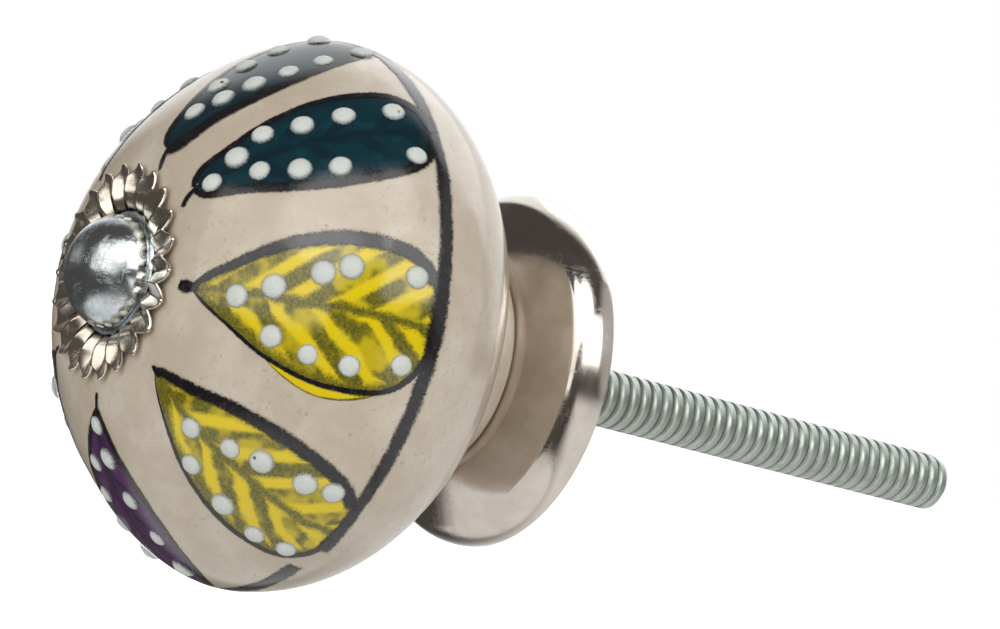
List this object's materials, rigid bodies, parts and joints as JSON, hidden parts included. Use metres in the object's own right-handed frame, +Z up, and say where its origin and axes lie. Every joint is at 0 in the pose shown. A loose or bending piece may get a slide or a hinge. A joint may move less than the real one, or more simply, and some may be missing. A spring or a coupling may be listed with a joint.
{
  "type": "cabinet knob",
  "caption": "Round hand-painted stoneware cabinet knob with a metal base cup, a dome-headed bolt and a flower washer, fixed by its threaded end.",
  "frame": {"origin": "centre of the base cup's rear rim, in the plane that meets the drawer front or door", "axes": "+Y along the knob's axis, out of the back along the threaded end; the bolt's domed head faces -Y; +Z is up"},
  "size_m": [0.0408, 0.0813, 0.0406],
  "materials": {
    "stoneware_glaze": "glossy oatmeal glaze with fine brown specks",
    "black_paint": "brushed near-black line under gloss",
    "teal_paint": "mottled dark teal, glossy",
    "yellow_paint": "yellow with olive veins, glossy",
    "purple_paint": "mottled purple, glossy",
    "green_paint": "leaf green, glossy",
    "white_slip": "raised matt white slip",
    "polished_steel": "polished and finely scratched",
    "bright_plating": "bright plated sheet",
    "nickel_plating": "warm bright nickel",
    "zinc_plating": "dull zinc plate"
  },
  "bodies": {
    "root": {"ceramic_body": "stoneware_glaze", "shoulder_line": "black_paint", "teal_leaf_1": "teal_paint", "teal_leaf_2": "teal_paint", "yellow_leaf_1": "yellow_paint", "yellow_leaf_2": "yellow_paint", "purple_leaf_1": "purple_paint", "purple_leaf_2": "purple_paint", "green_leaf_1": "green_paint", "green_leaf_2": "green_paint", "leaf_outline_1": "black_paint", "leaf_outline_2": "black_paint", "leaf_outline_3": "black_paint", "leaf_outline_4": "black_paint", "leaf_outline_5": "black_paint", "leaf_outline_6": "black_paint", "leaf_outline_7": "black_paint", "leaf_outline_8": "black_paint", "leaf_dots_1": "white_slip", "leaf_dots_2": "white_slip", "leaf_dots_3": "white_slip", "leaf_dots_4": "white_slip", "leaf_dots_5": "white_slip", "leaf_dots_6": "white_slip", "leaf_dots_7": "white_slip", "leaf_dots_8": "white_slip", "flower_washer": "bright_plating", "dome_bolt": "polished_steel", "base_cup": "nickel_plating", "clamp_nut": "zinc_plating"}
  },
  "joints": []
}
